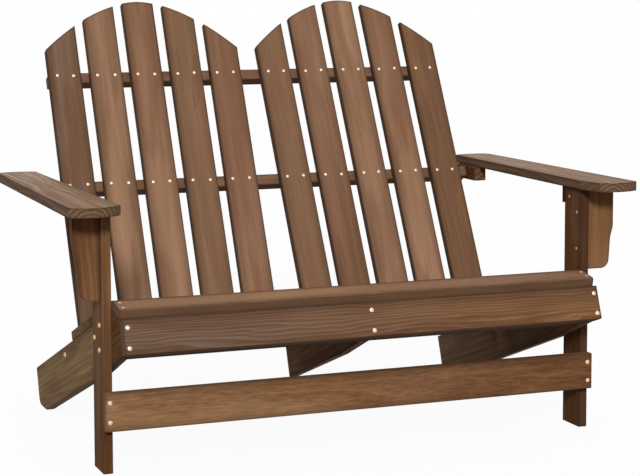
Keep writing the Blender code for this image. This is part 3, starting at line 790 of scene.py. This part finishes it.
cell = 2 * HEAD_RADIUS / CELLS
cross = []
for face in head.faces:
    spot = face.calc_center_median()
    across, along = sorted((abs(spot.x), abs(spot.y)))
    if face.normal.z > FACES_UP and across < cell / 2 and along < cell * CROSS_CELLS / 2:
        cross.append(face)
bmesh.ops.inset_region(head, faces=cross, thickness=CROSS_MARGIN, depth=-CROSS_DEPTH)
head_mesh = bpy.data.meshes.new("screw_head")
head.to_mesh(head_mesh)
head.free()
print("a cross of %d faces, the head now has %d" % (len(cross), len(head_mesh.polygons)))

# %% [markdown]
# ## Where the screws go
#
# A joiner drives a screw through the middle of the piece underneath. So a screw's place starts as
# a point in that piece, such as the middle of a rail, and is then moved straight out to the
# face of the board in front. The moves use the measured axes, so each head lies flat on its
# board however that board leans. Places typed in by hand would do for one seat, but not after a
# change. A little seeded chance turns each cross its own way and leaves the row not quite
# straight, as drilling by hand does.

# %% Write the screw helpers
HAND_DRIFT = 0.0012
HEAD_PROUD = 0.0002
TO_FRONT = Vector((0, -1, 0))
TO_TOP = Vector((0, 0, 1))
hand = Random(5)


def middle_of(name):
    """Return the middle of a node's box."""
    low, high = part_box(name)
    return (low + high) / 2


def drive_screw(group, board_name, towards, spot, size=1.0):
    """Drive a screw through a board at the spot, its head on the face named."""
    middle, axes, half = boards[board_name]
    face = axes[2] if axes[2].dot(towards) > 0 else -axes[2]
    drift = Vector((hand.uniform(-1, 1), hand.uniform(-1, 1), hand.uniform(-1, 1))) * HAND_DRIFT
    spot = spot + drift
    spot = spot + face * (half[2] - (spot - middle).dot(face) + HEAD_PROUD)
    before = len(group.verts)
    group.from_mesh(head_mesh)
    group.verts.ensure_lookup_table()
    stand = face.to_track_quat("Z", "Y").to_matrix().to_4x4()
    turn = Matrix.Rotation(hand.uniform(0, pi), 4, "Z")
    place = Matrix.Translation(spot) @ stand @ turn @ Matrix.Scale(size, 4)
    bmesh.ops.transform(group, matrix=place, verts=group.verts[before:])


def drive_pair(group, board_name, towards, spot, spread, size=1.0):
    """Drive two screws, one to each side of the spot across the board."""
    across = boards[board_name][1][1]
    for sign in (-1, 1):
        drive_screw(group, board_name, towards, spot + across * sign * spread, size)


print("a head's place drifts by up to %.1f mm" % (HAND_DRIFT * 1000))

# %% [markdown]
# ## Screws as pieces
#
# Each screw could be an object, but nearly a hundred of them would crowd the model. All screws of
# one kind of joint are one piece, which rides with the seat. Smooth shading rounds the domes, and
# the sharp edges of rim and cross are kept.

# %% Write the helper that finishes a group
SHARP_ANGLE = radians(30)


def finish_screws(name, group):
    """Turn a group of screws into one piece that rides with the seat."""
    count = len(group.faces) // len(head_mesh.polygons)
    mesh = bpy.data.meshes.new(name)
    group.to_mesh(mesh)
    group.free()
    mesh.shade_smooth()
    mesh.set_sharp_from_angle(angle=SHARP_ANGLE)
    mesh.materials.append(clear_zinc)
    piece = bpy.data.objects.new(name, mesh)
    bpy.context.scene.collection.objects.link(piece)
    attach(piece, "root")
    print("%s: %d" % (name, count))


print("edges over %.0f degrees stay sharp" % (SHARP_ANGLE / pi * 180))

# %% [markdown]
# ## The back's screws
#
# Three rails run behind the slats, and each slat has two screws in each. The rails are level but
# the slats fan out, so for each rail the script goes along the slat's own axis until it is as
# high as the rail. A fixed distance would miss the rails at the outer slats.

# %% Screw the back slats to their rails
SLAT_SCREW_SPREAD = 0.0202

group = bmesh.new()
for slat in sorted(name for name in boards if name.startswith("back_slat")):
    middle, (along, _, _), _ = boards[slat]
    up_the_back = Vector((0, along.y, along.z)).normalized()
    for rail in ("lower_back_rail", "arm_back_rail", "upper_back_rail"):
        on_axis = middle + along * (middle_of(rail) - middle).dot(up_the_back)
        drive_pair(group, slat, TO_FRONT, on_axis, SLAT_SCREW_SPREAD)
finish_screws("back_slat_screws", group)

# %% [markdown]
# ## The front boards' screws
#
# The apron is screwed to the noses of the three stringers, and the stretcher to the two legs.
# These screws are bigger, as the apron's go into end grain and the stretcher's into narrow
# edges. They could have a head of their own, but the same head drawn larger is as good.

# %% Screw the apron and the stretcher
BIG_SCREW = 1.3
FRONT_JOINTS = {
    # board: (pieces behind it, half the distance between a pair of screws)
    "apron": (("stringer_left", "stringer_centre", "stringer_right"), 0.0215),
    "stretcher": (("leg_left", "leg_right"), 0.021),
}

group = bmesh.new()
for board_name, (pieces_behind, spread) in FRONT_JOINTS.items():
    middle = boards[board_name][0]
    for piece_behind in pieces_behind:
        spot = Vector((middle_of(piece_behind).x, middle.y, middle.z))
        drive_pair(group, board_name, TO_FRONT, spot, spread, BIG_SCREW)
finish_screws("front_board_screws", group)

# %% [markdown]
# ## The seat's screws
#
# Each seat slat has two screws in each outer stringer, driven from above. The front slat is
# narrower than the others, so its two stand closer. A share of each slat's width would do as
# well, but a joiner sets out one distance for all slats and changes it only where it must be.

# %% Screw the seat slats to the stringers
SEAT_SCREW_SPREAD = 0.020
FRONT_SLAT_SCREW_SPREAD = 0.013

group = bmesh.new()
for slat in sorted(name for name in boards if "seat_slat" in name):
    middle = boards[slat][0]
    spread = FRONT_SLAT_SCREW_SPREAD if slat == "front_seat_slat" else SEAT_SCREW_SPREAD
    for stringer in ("stringer_left", "stringer_right"):
        spot = Vector((middle_of(stringer).x, middle.y, middle.z))
        drive_pair(group, slat, TO_TOP, spot, spread)
finish_screws("seat_slat_screws", group)

# %% [markdown]
# ## The legs' screws
#
# A bracket outside each leg and a cleat behind it carry the arm. They are screwed on from inside
# the leg, so that no head shows on the bracket. Two screws go into the bracket, one high and one
# low, and one into the cleat, halfway along the part of it that lies on the leg.

# %% Screw the brackets and cleats on from inside the legs
BRACKET_SCREW_SHARES = (0.30, 0.74)

group = bmesh.new()
for side, inward in (("left", Vector((1, 0, 0))), ("right", Vector((-1, 0, 0)))):
    leg = "leg_" + side
    low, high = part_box("arm_bracket_" + side)
    for share in BRACKET_SCREW_SHARES:
        spot = Vector((low.x, (low.y + high.y) / 2, high.z - (high.z - low.z) * share))
        drive_screw(group, leg, inward, spot)
    cleat_low, cleat_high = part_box("arm_cleat_" + side)
    leg_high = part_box(leg)[1]
    spot = Vector((low.x, (cleat_low.y + leg_high.y) / 2, (cleat_low.z + cleat_high.z) / 2))
    drive_screw(group, leg, inward, spot)
finish_screws("leg_screws", group)
